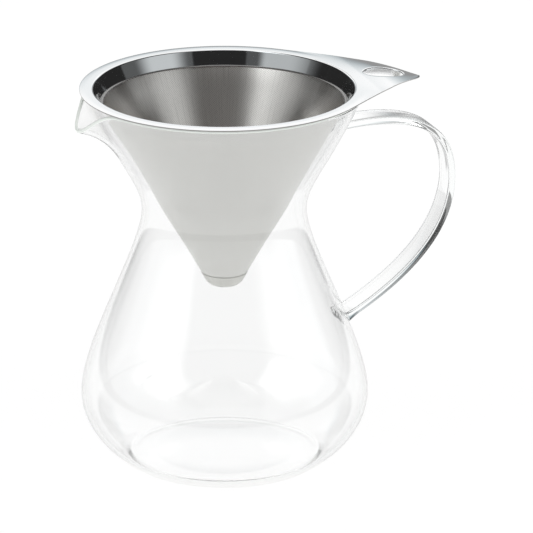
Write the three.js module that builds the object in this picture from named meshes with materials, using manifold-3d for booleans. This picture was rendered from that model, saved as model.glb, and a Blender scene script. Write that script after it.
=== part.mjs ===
// Glass coffee jug with a lift-out steel cone filter.
// Millimetres and degrees. The origin is the centre of the foot on the table, and +Z is up.
// +X points to the strap handle and the filter's finger tab, -X to the pouring spout.

import * as THREE from 'three';
import { mergeVertices } from 'three/addons/utils/BufferGeometryUtils.js';
import Module from 'manifold-3d';

const wasm = await Module();
wasm.setup();
const { degToRad, clamp } = THREE.MathUtils;

// Glass jug, with radii of the outer face
const GLASS_WALL = 1.9;
const FOOT_RADIUS = 44;
const BASE_THICKNESS = 2.4;
const FLOOR_RISE = 1.4;
const BELLY_HEIGHT = 31.4;
const NECK_RADIUS = 37.2;
const BELLY_TO_NECK = 86.6;
const MOUTH_RADIUS = 62.6;
const BELLY_PROUD_OF_RIM = 0.5;
const NECK_TO_LIP = 56.2;

// How the wall bends from one height to the next: lengths of the straight pull at each end
const HEEL_ANGLE = 28;
const HEEL_PULL = 4;
const BELLY_PULL_BELOW = 18;
const BELLY_PULL_ABOVE = 22;
const NECK_PULL_BELOW = 17.7;
const NECK_PULL_ABOVE = 12.8;
const FLARE_PULL = 37.5;
const FLARE_LEAN = 5;

// Pouring spout, drawn out of the lip and down
const SPOUT_REACH = 6;
const SPOUT_DROP = 12.2;
const SPOUT_DEPTH = 29;
const SPOUT_SPREAD = 12;
const SPOUT_CROWDING = 0.4;

// Strap handle
const STRAP_WIDTH = 14;
const STRAP_THICKNESS = 3.4;
const STRAP_EDGE_RADIUS = 1.3;
const HANDLE_REACH = 107.3;
const HANDLE_BELOW_LIP = 21.8;
const HANDLE_APEX_DROP = 28.9;
const HANDLE_FOOT_ABOVE_BELLY = 29.1;
const HANDLE_TOP_ANGLE = 7;
const HANDLE_FOOT_ANGLE = 28;
const HANDLE_TOP_PULL = 43;
const HANDLE_SHOULDER_PULL = 23;
const HANDLE_HIP_PULL = 29.2;
const HANDLE_FOOT_PULL = 28;
const FUSE_RUN = 7;
const FUSE_SPREAD = 2.2;
const FUSE_GAP = 0.3;

// Filter: clear space to the glass, and the thickness of each layer of steel
const SEAT_GAP = 0.3;
const CONE_MOUTH_GAP = 2.54;
const CONE_NECK_GAP = 8.37;
const SHEET = 0.5;
const MESH_THICKNESS = 0.2;
const CONE_THICKNESS = 0.3;
const HEM_THICKNESS = 0.4;
const LAP_GAP = 0.1;

// Rim plate with its collar, finger tab and finger hole
const RIM_OVERHANG = 2.1;
const RIM_BEND_RADIUS = 1;
const COLLAR_DROP = 6.3;
const COLLAR_LAP = 1;
const HEM_HEIGHT = 1;
const TAB_SPREAD = 48.5;
const TAB_LENGTH = 28.7;
const TAB_SIDE_PULL = 46;
const TAB_TIP_PULL = 3.5;
const TAB_DROOP = 4;
const TAB_FLAT = 12;
const HOLE_FROM_RIM = 11.2;
const HOLE_HALF_LENGTH = 9.2;
const HOLE_HALF_WIDTH = 7.1;
const HOLE_LIP_DEPTH = 2.4;
const HOLE_FLARE = 1.2;

// Closed tip of the filter
const TIP_RADIUS = 8.7;
const TIP_LAP = 3;
const TIP_DROP = 3.2;
const TIP_FLAT_RADIUS = 5.5;
const TIP_CAP_THICKNESS = 0.4;
const INSERT_THICKNESS = 0.4;

// Facets
const ROUND_STEPS = 60;
const TIP_STEPS = 30;
const WALL_STEPS = 8;
const LIP_STEPS = 4;
const ARC_STEPS = 4;
const STRAP_STEPS = 20;
const TAB_STEPS = 12;
const TAB_COLUMNS = 8;
const HOLE_STEPS = 36;
const CORNER_STEPS = 2;
const FLOOR_RINGS = [1, 0.6, 0.2];
const WELD_DISTANCE = 1e-4;

// Sizes that follow from those above
const NECK_HEIGHT = BELLY_HEIGHT + BELLY_TO_NECK;
const JUG_HEIGHT = NECK_HEIGHT + NECK_TO_LIP;
const SEAT_HEIGHT = JUG_HEIGHT + SEAT_GAP;
const CONE_RADIUS_AT_LIP = MOUTH_RADIUS - GLASS_WALL - CONE_MOUTH_GAP;
const CONE_RADIUS_AT_NECK = NECK_RADIUS - GLASS_WALL - CONE_NECK_GAP;
const CONE_HALF_ANGLE = Math.atan2(CONE_RADIUS_AT_LIP - CONE_RADIUS_AT_NECK, NECK_TO_LIP);
const FLARE_ANGLE = CONE_HALF_ANGLE - degToRad(FLARE_LEAN);
const WALL_TOP = JUG_HEIGHT - GLASS_WALL / 2 * (1 + Math.sin(FLARE_ANGLE));
const RIM_RADIUS = MOUTH_RADIUS + RIM_OVERHANG;
const BELLY_RADIUS = RIM_RADIUS + BELLY_PROUD_OF_RIM;

// Each layer's faces, measured square to the outer face of the cone, outwards positive
const COLLAR_INSIDE = LAP_GAP;
const COLLAR_OUTSIDE = COLLAR_INSIDE + SHEET;
const CONE_INSIDE = -CONE_THICKNESS;
const MESH_OUTSIDE = CONE_INSIDE - LAP_GAP;
const MESH_INSIDE = MESH_OUTSIDE - MESH_THICKNESS;
const HEM_OUTSIDE = MESH_INSIDE - LAP_GAP;
const HEM_INSIDE = HEM_OUTSIDE - HEM_THICKNESS;

// Heights in the filter, measured from its seat on the lip
const CONE_TOP = SHEET - COLLAR_DROP;
const COLLAR_FOOT = CONE_TOP - COLLAR_LAP;
const CONE_FOOT = (TIP_RADIUS - CONE_RADIUS_AT_LIP) / Math.tan(CONE_HALF_ANGLE) - SEAT_GAP;
const TIP_FOOT = CONE_FOOT - TIP_DROP;

const materials = {
  clearGlass: { color: 0xeef4f3, roughness: 0.03, metalness: 0, transparent: true, opacity: 0.35 },
  polishedSteel: { color: 0xd9dbdc, roughness: 0.12, metalness: 1 },
  satinSteel: { color: 0xc6c7c2, roughness: 0.42, metalness: 1 },
  wovenSteel: { color: 0x8f8983, roughness: 0.5, metalness: 1 },
};

// A named piece with a material of its own
function piece(name, geometry, finish) {
  const mesh = new THREE.Mesh(geometry, new THREE.MeshStandardMaterial(finish));
  mesh.name = name;
  return mesh;
}

// Points only, with shared corners merged
function weld(geometry) {
  geometry.deleteAttribute('normal');
  geometry.deleteAttribute('uv');
  return mergeVertices(geometry, WELD_DISTANCE);
}

function solid(geometry) {
  const merged = weld(geometry);
  const vertProperties = new Float32Array(merged.attributes.position.array);
  const triVerts = new Uint32Array(merged.index.array);
  return new wasm.Manifold(new wasm.Mesh({ numProp: 3, vertProperties, triVerts }));
}

function fromSolid(body) {
  const mesh = body.getMesh();
  const geometry = new THREE.BufferGeometry();
  geometry.setAttribute('position', new THREE.BufferAttribute(mesh.vertProperties, 3));
  geometry.setIndex(new THREE.BufferAttribute(mesh.triVerts, 1));
  return geometry;
}

// Closed skin over rings of equally many points, with a fan over the first and last ring.
// Seen from the last ring the points run counterclockwise.
function skin(rings) {
  const count = rings[0].length;
  const centre = (ring) => ring.reduce((sum, p) => sum.add(p), new THREE.Vector3()).divideScalar(count);
  const points = [...rings.flat(), centre(rings[0]), centre(rings.at(-1))];
  const firstCentre = points.length - 2;
  const lastCentre = points.length - 1;
  const lastRing = (rings.length - 1) * count;
  const faces = [];
  for (let j = 0; j < count; j += 1) {
    const next = (j + 1) % count;
    faces.push(firstCentre, next, j, lastCentre, lastRing + j, lastRing + next);
    for (let i = 0; i < lastRing; i += count) {
      faces.push(i + j, i + next, i + count + next, i + j, i + count + next, i + count + j);
    }
  }
  const geometry = new THREE.BufferGeometry().setFromPoints(points);
  geometry.setIndex(faces);
  return geometry;
}

// Body turned about Z from a profile of radius and height that runs counterclockwise
function turned(profile, steps) {
  return weld(new THREE.LatheGeometry(profile, steps).rotateX(Math.PI / 2));
}

// Outer face of the glass in section, from the foot up to the lip
function wallProfile() {
  const heel = degToRad(HEEL_ANGLE);
  const path = new THREE.Path();
  path.moveTo(FOOT_RADIUS, 0);
  path.bezierCurveTo(
    FOOT_RADIUS + HEEL_PULL * Math.cos(heel), HEEL_PULL * Math.sin(heel),
    BELLY_RADIUS, BELLY_HEIGHT - BELLY_PULL_BELOW, BELLY_RADIUS, BELLY_HEIGHT,
  );
  path.bezierCurveTo(
    BELLY_RADIUS, BELLY_HEIGHT + BELLY_PULL_ABOVE,
    NECK_RADIUS, NECK_HEIGHT - NECK_PULL_BELOW, NECK_RADIUS, NECK_HEIGHT,
  );
  path.bezierCurveTo(
    NECK_RADIUS, NECK_HEIGHT + NECK_PULL_ABOVE,
    MOUTH_RADIUS - FLARE_PULL * Math.sin(FLARE_ANGLE), WALL_TOP - FLARE_PULL * Math.cos(FLARE_ANGLE),
    MOUTH_RADIUS, WALL_TOP,
  );
  return path;
}

// Radius of the outer face at a height, found between closely spaced profile points
function wallRadius(height) {
  const points = wallProfile().getPoints(ROUND_STEPS);
  const above = points.findIndex((p) => p.y >= height);
  const low = points[above - 1];
  const high = points[above];
  return low.x + (high.x - low.x) * (height - low.y) / (high.y - low.y);
}

// Angles round the jug from the spout, closer together near the spout
function jugAngles() {
  return Array.from({ length: ROUND_STEPS }, (_, j) => {
    const turn = 2 * Math.PI * j / ROUND_STEPS;
    return turn - SPOUT_CROWDING * Math.sin(turn);
  });
}

function level(radius, height) {
  return jugAngles().map((angle) => wallPoint(radius, height, angle));
}

// A point of the outer face; near the lip the spout pulls it out and down
function wallPoint(radius, height, angle) {
  const fromSpout = Math.atan2(Math.sin(angle), Math.cos(angle)) / degToRad(SPOUT_SPREAD);
  const rise = clamp((height - WALL_TOP + SPOUT_DEPTH) / SPOUT_DEPTH, 0, 1);
  const pull = Math.exp(-fromSpout * fromSpout) * rise * rise;
  const reach = radius + SPOUT_REACH * pull;
  const z = height - SPOUT_DROP * pull;
  return new THREE.Vector3(-reach * Math.cos(angle), -reach * Math.sin(angle), z);
}

// Directions at each point of a grid of rings: out of the face and up along it
function gridDirections(rings) {
  const last = rings.length - 1;
  return rings.map((ring, i) => ring.map((_, j) => {
    const count = ring.length;
    const around = ring[(j + 1) % count].clone().sub(ring[(j + count - 1) % count]);
    const up = rings[Math.min(i + 1, last)][j].clone().sub(rings[Math.max(i - 1, 0)][j]);
    const out = around.clone().cross(up).normalize();
    return { out, up: out.clone().cross(around).normalize() };
  }));
}

function moved(rings, directions, distance) {
  const shift = (p, { out }) => p.clone().addScaledVector(out, distance);
  return rings.map((ring, i) => ring.map((p, j) => shift(p, directions[i][j])));
}

function outerWall() {
  return wallProfile().getPoints(WALL_STEPS).map((p) => level(p.x, p.y));
}

// Half-round edge that joins the two faces of the wall
function lipRings(rim, directions) {
  const half = GLASS_WALL / 2;
  return Array.from({ length: LIP_STEPS - 1 }, (_, k) => {
    const turn = Math.PI * (k + 1) / LIP_STEPS;
    return rim.map((p, j) => p.clone()
      .addScaledVector(directions[j].out, half * (Math.cos(turn) - 1))
      .addScaledVector(directions[j].up, half * Math.sin(turn)));
  });
}

// One blown shell: flat foot, belly, neck, flared mouth and spout, with a slightly domed floor inside
function glassBody() {
  const outer = outerWall();
  const directions = gridDirections(outer);
  const inner = moved(outer, directions, -GLASS_WALL);
  const aboveFloor = inner.filter((ring) => ring[0].z > BASE_THICKNESS + GLASS_WALL / 2);
  const floorRadius = FOOT_RADIUS - GLASS_WALL;
  const dome = (share) => FLOOR_RISE * (1 - share * share);
  const floor = FLOOR_RINGS.map((share) => level(floorRadius * share, BASE_THICKNESS + dome(share)));
  const lip = lipRings(outer.at(-1), directions.at(-1));
  return skin([...outer, ...lip, ...aboveFloor.reverse(), ...floor]);
}

// Solid of the jug's outer form and a little more, to cut the ends of the handle
function jugEnvelope() {
  const outer = outerWall();
  return skin(moved(outer, gridDirections(outer), FUSE_GAP));
}

// Middle line of the strap in the XZ plane, from below the lip to above the belly
function strapPath() {
  const top = JUG_HEIGHT - HANDLE_BELOW_LIP;
  const apex = top - HANDLE_APEX_DROP;
  const foot = BELLY_HEIGHT + HANDLE_FOOT_ABOVE_BELLY;
  const topStart = wallRadius(top) - GLASS_WALL;
  const footEnd = wallRadius(foot) - GLASS_WALL;
  const climb = degToRad(HANDLE_TOP_ANGLE);
  const slope = degToRad(HANDLE_FOOT_ANGLE);
  const path = new THREE.Path();
  path.moveTo(topStart, top);
  path.bezierCurveTo(
    topStart + HANDLE_TOP_PULL * Math.cos(climb), top + HANDLE_TOP_PULL * Math.sin(climb),
    HANDLE_REACH, apex + HANDLE_SHOULDER_PULL, HANDLE_REACH, apex,
  );
  path.bezierCurveTo(
    HANDLE_REACH, apex - HANDLE_HIP_PULL,
    footEnd + HANDLE_FOOT_PULL * Math.cos(slope), foot + HANDLE_FOOT_PULL * Math.sin(slope),
    footEnd, foot,
  );
  return path;
}

// Rounded rectangle across the strap, as offsets along its width and thickness
function strapSection(width, thickness) {
  const x = width / 2 - STRAP_EDGE_RADIUS;
  const y = thickness / 2 - STRAP_EDGE_RADIUS;
  const section = new THREE.Path();
  section.absarc(x, y, STRAP_EDGE_RADIUS, 0, Math.PI / 2);
  section.absarc(-x, y, STRAP_EDGE_RADIUS, Math.PI / 2, Math.PI);
  section.absarc(-x, -y, STRAP_EDGE_RADIUS, Math.PI, Math.PI * 1.5);
  section.absarc(x, -y, STRAP_EDGE_RADIUS, Math.PI * 1.5, Math.PI * 2);
  const corners = section.curves.filter((curve) => curve.isEllipseCurve);
  return corners.flatMap((corner) => corner.getPoints(CORNER_STEPS));
}

// Flat glass strap, a little fuller where it is fused to the jug, cut to the jug's face
function glassHandle() {
  const path = strapPath();
  const length = path.getLength();
  const rings = Array.from({ length: STRAP_STEPS * 2 + 1 }, (_, i) => {
    const along = i / (STRAP_STEPS * 2);
    const centre = path.getPointAt(along);
    const tangent = path.getTangentAt(along);
    const fromEnd = Math.min(along, 1 - along) * length - GLASS_WALL;
    const fuse = FUSE_SPREAD * clamp(1 - fromEnd / FUSE_RUN, 0, 1) ** 2;
    return strapSection(STRAP_WIDTH + fuse, STRAP_THICKNESS + fuse).map((p) => new THREE.Vector3(
      centre.x - tangent.y * p.y, p.x, centre.y + tangent.x * p.y,
    ));
  });
  return fromSolid(solid(skin(rings)).subtract(solid(jugEnvelope())));
}

// Radius of a face of the filter's cone at a height above the seat
function coneRadius(height, layer) {
  const belowLip = -(height + SEAT_GAP) * Math.tan(CONE_HALF_ANGLE);
  return CONE_RADIUS_AT_LIP - belowLip + layer / Math.cos(CONE_HALF_ANGLE);
}

function conePoint(height, layer) {
  return new THREE.Vector2(coneRadius(height, layer), height);
}

// Conical sleeve between two faces and two heights
function sleeve(foot, top, inside, outside) {
  const profile = [
    conePoint(foot, inside), conePoint(foot, outside),
    conePoint(top, outside), conePoint(top, inside), conePoint(foot, inside),
  ];
  return turned(profile, ROUND_STEPS);
}

// Flat ring whose inner edge is drawn down into the conical collar
function rimRing() {
  const turn = Math.PI - CONE_HALF_ANGLE;
  const bendHeight = SHEET - RIM_BEND_RADIUS;
  const bendAxis = coneRadius(SHEET, COLLAR_INSIDE)
    + RIM_BEND_RADIUS * Math.tan((Math.PI / 2 - CONE_HALF_ANGLE) / 2);
  const edge = SHEET / 2;
  const path = new THREE.Path();
  path.moveTo(RIM_RADIUS - edge, SHEET);
  path.lineTo(bendAxis, SHEET);
  path.absarc(bendAxis, bendHeight, RIM_BEND_RADIUS, Math.PI / 2, turn);
  path.lineTo(coneRadius(COLLAR_FOOT, COLLAR_INSIDE), COLLAR_FOOT);
  path.lineTo(coneRadius(COLLAR_FOOT, COLLAR_OUTSIDE), COLLAR_FOOT);
  path.absarc(bendAxis, bendHeight, RIM_BEND_RADIUS - SHEET, turn, Math.PI / 2, true);
  path.lineTo(RIM_RADIUS - edge, 0);
  path.absarc(RIM_RADIUS - edge, edge, edge, -Math.PI / 2, Math.PI / 2);
  return turned(path.getPoints(ARC_STEPS / 2), ROUND_STEPS);
}

// Edge of the tab in plan: it leaves the round rim without a corner and closes in a soft point
function tabEdge() {
  const spread = degToRad(TAB_SPREAD);
  const start = new THREE.Vector2(Math.cos(spread), Math.sin(spread)).multiplyScalar(RIM_RADIUS);
  const side = new THREE.Vector2(Math.sin(spread), -Math.cos(spread)).multiplyScalar(TAB_SIDE_PULL);
  const tip = new THREE.Vector2(RIM_RADIUS + TAB_LENGTH, 0);
  const beforeTip = new THREE.Vector2(tip.x, TAB_TIP_PULL);
  return new THREE.CubicBezierCurve(start, start.clone().add(side), beforeTip, tip);
}

// The tab stays level near the rim and curves down to its tip
function tabDroop(x) {
  const share = clamp((x - RIM_RADIUS - TAB_FLAT) / (TAB_LENGTH - TAB_FLAT), 0, 1);
  return TAB_DROOP * share * share;
}

function tabBlade() {
  const rings = tabEdge().getPoints(TAB_STEPS).map((p) => {
    const half = Math.max(p.y, SHEET / 2);
    const columns = Array.from({ length: TAB_COLUMNS + 1 }, (_, k) => half * (2 * k / TAB_COLUMNS - 1));
    const top = SHEET - tabDroop(p.x);
    const upper = columns.map((y) => new THREE.Vector3(p.x, y, top));
    const lower = columns.map((y) => new THREE.Vector3(p.x, y, top - SHEET));
    return [...lower, ...upper.reverse()];
  });
  return solid(skin(rings));
}

// Oval ring in the tab at a height, wider than the finger hole by a margin
function holeRing(height, margin) {
  const x = RIM_RADIUS + HOLE_FROM_RIM;
  return Array.from({ length: HOLE_STEPS }, (_, k) => {
    const turn = 2 * Math.PI * k / HOLE_STEPS;
    const along = (HOLE_HALF_LENGTH + margin) * Math.cos(turn);
    return new THREE.Vector3(x + along, (HOLE_HALF_WIDTH + margin) * Math.sin(turn), height);
  });
}

// Drawn-down edge of the finger hole
function holeLip() {
  return solid(skin([holeRing(-HOLE_LIP_DEPTH, SHEET), holeRing(SHEET / 2, SHEET)]));
}

// Cutter for the finger hole, rounded outwards at the top face
function holeCutter() {
  const flare = Array.from({ length: ARC_STEPS + 1 }, (_, k) => {
    const turn = Math.PI / 2 * k / ARC_STEPS;
    const height = SHEET - HOLE_FLARE * (1 - Math.sin(turn));
    return holeRing(height, HOLE_FLARE * (1 - Math.cos(turn)));
  });
  const below = holeRing(-HOLE_LIP_DEPTH - SHEET, 0);
  const above = holeRing(SHEET * 2, HOLE_FLARE);
  return solid(skin([below, ...flare, above]));
}

// Round cutter that keeps the tab out of the filter's mouth, inside the flat of the rim
function mouthCutter() {
  const inner = coneRadius(SHEET, COLLAR_INSIDE) + RIM_BEND_RADIUS;
  const radius = (inner + RIM_RADIUS) / 2;
  const height = TAB_DROOP + SHEET * 2;
  const disc = new THREE.CylinderGeometry(radius, radius, height * 2, ROUND_STEPS);
  return solid(disc.rotateX(Math.PI / 2));
}

// One stamping: round rim, collar, drooping finger tab and its drawn hole
function rimPlate() {
  const blade = tabBlade().subtract(mouthCutter());
  const whole = solid(rimRing()).add(blade).add(holeLip());
  return fromSolid(whole.subtract(holeCutter()));
}

// Outer cup that closes the tip and laps the outside of the cone
function tipCap() {
  const lapTop = CONE_FOOT + TIP_LAP;
  const inside = LAP_GAP;
  const outside = inside + TIP_CAP_THICKNESS;
  const shoulder = conePoint(CONE_FOOT, outside);
  const floor = TIP_FOOT + TIP_CAP_THICKNESS;
  const path = new THREE.Path();
  path.moveTo(0, TIP_FOOT);
  path.lineTo(TIP_FLAT_RADIUS, TIP_FOOT);
  path.quadraticCurveTo(coneRadius(TIP_FOOT, outside), TIP_FOOT, shoulder.x, shoulder.y);
  path.lineTo(coneRadius(lapTop, outside), lapTop);
  path.lineTo(coneRadius(lapTop, inside), lapTop);
  path.lineTo(coneRadius(CONE_FOOT, inside), CONE_FOOT);
  path.quadraticCurveTo(coneRadius(TIP_FOOT, inside), floor, TIP_FLAT_RADIUS, floor);
  path.lineTo(0, floor);
  return turned(path.getPoints(ARC_STEPS), TIP_STEPS);
}

// Inner dish that closes the mesh from inside
function tipInsert() {
  const outside = MESH_INSIDE - LAP_GAP;
  const inside = outside - INSERT_THICKNESS;
  const foot = CONE_FOOT + LAP_GAP;
  const floor = foot + INSERT_THICKNESS;
  const top = foot + TIP_LAP;
  const profile = [
    new THREE.Vector2(0, foot), conePoint(foot, outside), conePoint(top, outside),
    conePoint(top, inside), conePoint(floor, inside), new THREE.Vector2(0, floor),
  ];
  return turned(profile, TIP_STEPS);
}

function jug() {
  const group = new THREE.Group();
  group.add(piece('glass_body', glassBody(), materials.clearGlass));
  group.add(piece('glass_handle', glassHandle(), materials.clearGlass));
  return group;
}

function filter() {
  const group = new THREE.Group();
  const cone = sleeve(CONE_FOOT, CONE_TOP, CONE_INSIDE, 0);
  const mesh = sleeve(CONE_FOOT, CONE_TOP, MESH_INSIDE, MESH_OUTSIDE);
  const hem = sleeve(CONE_TOP - HEM_HEIGHT, CONE_TOP, HEM_INSIDE, HEM_OUTSIDE);
  group.add(piece('rim_plate', rimPlate(), materials.polishedSteel));
  group.add(piece('hem_ring', hem, materials.polishedSteel));
  group.add(piece('outer_cone', cone, materials.satinSteel));
  group.add(piece('inner_mesh', mesh, materials.wovenSteel));
  group.add(piece('tip_cap', tipCap(), materials.satinSteel));
  group.add(piece('tip_insert', tipInsert(), materials.polishedSteel));
  group.position.z = SEAT_HEIGHT;
  return group;
}

const coffeePot = new THREE.Group();
coffeePot.add(jug(), filter());

export default coffeePot;
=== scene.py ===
"""Dress a glass coffee jug with a lift-out steel cone filter.

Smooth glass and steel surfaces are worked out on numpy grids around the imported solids, each gets
a procedural finish, and a white studio with floor, lamps and camera is set up around them.
Metres and degrees, +Z up, origin under the foot, +X towards the handle, -X towards the spout.
"""

import logging
import math
from dataclasses import dataclass, field
from enum import Enum
from typing import NamedTuple

import bmesh
import bpy
import numpy as np
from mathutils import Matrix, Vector


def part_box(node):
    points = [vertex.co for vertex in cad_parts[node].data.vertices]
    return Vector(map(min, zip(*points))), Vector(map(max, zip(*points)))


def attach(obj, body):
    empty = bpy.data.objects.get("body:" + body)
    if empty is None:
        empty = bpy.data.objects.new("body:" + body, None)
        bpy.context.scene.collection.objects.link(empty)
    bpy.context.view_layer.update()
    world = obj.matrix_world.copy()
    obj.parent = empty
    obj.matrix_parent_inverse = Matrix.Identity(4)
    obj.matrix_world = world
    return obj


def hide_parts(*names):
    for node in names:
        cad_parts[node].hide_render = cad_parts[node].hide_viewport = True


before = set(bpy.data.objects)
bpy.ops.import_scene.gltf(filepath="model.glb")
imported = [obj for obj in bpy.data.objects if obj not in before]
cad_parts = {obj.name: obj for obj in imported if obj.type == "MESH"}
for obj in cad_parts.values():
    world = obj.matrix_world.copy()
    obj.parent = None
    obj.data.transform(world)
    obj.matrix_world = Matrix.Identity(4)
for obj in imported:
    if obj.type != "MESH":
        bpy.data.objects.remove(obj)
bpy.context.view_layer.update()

Array = np.ndarray
Piece = bpy.types.Object
Material = bpy.types.Material
Socket = bpy.types.NodeSocket
MM = 0.001
UP = np.array([0, 1])
LONG_SIDE = 20 * MM
MERGE_DISTANCE = 1e-7
CAMERA_BEARING = -19
log = logging.getLogger("coffee_pot")


class Body(Enum):
    """The two rigid bodies of the pot."""

    JUG = "jug"
    FILTER = "filter"


class Slot(Enum):
    """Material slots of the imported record."""

    GLASS = "clear_glass"
    POLISHED = "polished_steel"
    SATIN = "satin_steel"
    WOVEN = "woven_steel"


# Curves and grids


def unit(vectors: Array) -> Array:
    """The same vectors with a length of 1."""
    return vectors / np.linalg.norm(vectors, axis=-1, keepdims=True)


def heading(angle: Array) -> Array:
    """Unit vectors in a plane, by their angles from the first axis in degrees."""
    return np.stack([np.cos(np.radians(angle)), np.sin(np.radians(angle))], axis=-1)


def direction(bearing: Array, height: Array) -> Array:
    """Unit vectors by bearing from -Y towards +X and by height above the horizon, in degrees."""
    b, e = np.radians(bearing), np.radians(height)
    return np.stack([np.sin(b) * np.cos(e), -np.cos(b) * np.cos(e), np.sin(e) + 0 * b], axis=-1)


def smooth_step(x: Array, low: float, high: float) -> Array:
    """0 below low, 1 above high, and 3s^2 - 2s^3 between them, with s the share of the way."""
    s = np.clip((np.asarray(x) - low) / (high - low), 0, 1)
    return s * s * (3 - 2 * s)


def window(x: Array, rise: tuple, fall: tuple) -> Array:
    """1 between a rise and a fall and 0 outside them, with smooth steps."""
    return smooth_step(x, *rise) * (1 - smooth_step(x, *fall))


def bezier(corners: Array, t: Array) -> Array:
    """Points of a cubic Bezier curve at shares t: the Bernstein weights times the four corners."""
    s, t = 1 - t[:, None], t[:, None]
    return np.hstack([s**3, 3 * t * s**2, 3 * t**2 * s, t**3]) @ corners


def chain(curves: list[Array], steps: int) -> Array:
    """Points along Bezier curves joined end to end, with shared ends given once."""
    first, *others = (bezier(corners, np.linspace(0, 1, steps + 1)) for corners in curves)
    return np.vstack([first, *(points[1:] for points in others)])


def even_path(points: Array, count: int) -> Array:
    """The same path with a count of points spaced evenly, read off its running length."""
    run = np.concatenate([[0], np.cumsum(np.linalg.norm(np.diff(points, axis=0), axis=1))])
    return np.stack([np.interp(np.linspace(0, run[-1], count), run, c) for c in points.T], axis=1)


def even_segment(a: Array, b: Array, rows: int) -> Array:
    """Points from a up to but not b: many on a long side of a section, one on a short one."""
    count = rows if np.linalg.norm(b - a) > LONG_SIDE else 1
    return a + (b - a) * np.linspace(0, 1, count, endpoint=False)[:, None]


def rounded_section(corners: Array, radius: float, steps: int) -> Array:
    """Closed section with each corner cut by a quadratic curve that starts a radius from it.

    Args:
        corners: points of the section, without repeating the first.
        radius: how far from the corner the curve starts and ends.
        steps: intervals on each curve.

    Returns:
        Points round the section.
    """
    before = radius * unit(np.roll(corners, 1, axis=0) - corners)
    after = radius * unit(np.roll(corners, -1, axis=0) - corners)
    t = np.linspace(0, 1, steps + 1)[None, :, None]
    bend = before[:, None] * (1 - t) ** 2 + after[:, None] * t**2
    return (corners[:, None] + bend).reshape(-1, 2)


def around(profile: Array, angle: Array) -> Array:
    """Points of a profile (radius, height) turned to each angle about Z, row by column."""
    r, z = profile[:, :1], profile[:, 1:]
    return np.stack([r * np.cos(angle), r * np.sin(angle), z + 0 * angle], axis=-1)


def grid_quads(rows: int, columns: int, ring_rows: bool = False, ring_columns: bool = False) -> Array:
    """Corner numbers of the quads between points that are stored row by row.

    Args:
        rows: how many rows of points.
        columns: how many points in a row.
        ring_rows: whether the last row joins the first.
        ring_columns: whether the last column joins the first.

    Returns:
        Four corner numbers per quad.
    """
    i, j = np.meshgrid(
        np.arange(rows if ring_rows else rows - 1),
        np.arange(columns if ring_columns else columns - 1),
        indexing="ij",
    )
    below, right = (i + 1) % rows, (j + 1) % columns
    corners = [i * columns + j, i * columns + right, below * columns + right, below * columns + j]
    return np.stack(corners, axis=-1).reshape(-1, 4)


def enclosed_volume(points: Array, quads: Array) -> float:
    """Volume inside a closed skin, the sum over its triangles of a.(b x c) / 6."""
    a, b, c, d = (points[quads[:, k]] for k in range(4))
    return float(np.einsum("ij,ij", a, np.cross(b, c) + np.cross(c, d)) / 6)


def face_up(points: Array, quads: Array) -> Array:
    """Turns each quad so that its own normal, the cross product of its diagonals, points up."""
    a, b, c, d = (points[quads[:, k]] for k in range(4))
    return np.where(np.cross(c - a, d - b)[:, 2:] < 0, quads[:, ::-1], quads)


# Pieces


def new_piece(
    name: str, points: Array, quads: Array, uv: Array | None = None, closed: bool = True
) -> Piece:
    """Makes a smooth-shaded mesh object from a grid, with poles and seams merged.

    Args:
        name: the piece's name.
        points: all points, in the part's frame.
        quads: four corner numbers per face.
        uv: one pair of surface coordinates per point, or None.
        closed: a closed skin is turned to face outwards.

    Returns:
        The new object, at the origin.
    """
    points = points.reshape(-1, 3)
    if closed and enclosed_volume(points, quads) < 0:
        quads = quads[:, ::-1]
    mesh = bpy.data.meshes.new(name)
    mesh.from_pydata(points.tolist(), [], quads.tolist())
    if uv is not None:
        layer = mesh.uv_layers.new(name="surface")
        layer.data.foreach_set("uv", uv.reshape(-1, 2)[quads.ravel()].astype(np.float32).ravel())
    bm = bmesh.new()
    bm.from_mesh(mesh)
    bmesh.ops.remove_doubles(bm, verts=bm.verts, dist=MERGE_DISTANCE)
    bm.to_mesh(mesh)
    bm.free()
    mesh.polygons.foreach_set("use_smooth", np.ones(len(mesh.polygons), dtype=bool))
    piece = bpy.data.objects.new(name, mesh)
    bpy.context.scene.collection.objects.link(piece)
    return piece


def turned(name: str, profile: Array, columns: int, ring: bool) -> Piece:
    """Round piece: a profile (radius, height) turned once about Z.

    Args:
        name: the piece's name.
        profile: points along the section.
        columns: steps round the axis.
        ring: whether the section closes on itself, or else starts and ends on the axis.

    Returns:
        The new object. One that reaches the axis has its plan as surface coordinates.
    """
    points = around(profile, np.linspace(0, 2 * np.pi, columns, endpoint=False))
    uv = None if ring else points[..., :2]
    return new_piece(name, points, grid_quads(len(profile), columns, ring, True), uv)


def recalculate(piece: Piece) -> None:
    """Makes a sheet's faces agree, with the highest face looking up.

    Args:
        piece: the sheet.
    """
    bm = bmesh.new()
    bm.from_mesh(piece.data)
    bmesh.ops.recalc_face_normals(bm, faces=bm.faces)
    highest = max(bm.faces, key=lambda f: (f.calc_center_median().z, f.normal.z**2))
    if highest.normal.z < 0:
        bmesh.ops.reverse_faces(bm, faces=bm.faces)
    bm.to_mesh(piece.data)
    bm.free()


def add_thickness(piece: Piece, thickness: float, edge: float) -> None:
    """Gives a sheet its thickness below its face, and softens its cut edges.

    Args:
        piece: the sheet, whose second finish is its underside and whose third its cut edges.
        thickness: of the sheet.
        edge: width of the softened edge.
    """
    wall = piece.modifiers.new("thickness", "SOLIDIFY")
    wall.thickness = thickness
    wall.offset = -1
    wall.use_even_offset = True
    wall.material_offset = 1
    wall.material_offset_rim = 2
    soft = piece.modifiers.new("soft_edge", "BEVEL")
    soft.width = edge
    soft.segments = 3
    soft.limit_method = "ANGLE"
    soft.angle_limit = math.radians(50)
    piece.modifiers.new("even_shade", "WEIGHTED_NORMAL").keep_sharp = True


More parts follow.
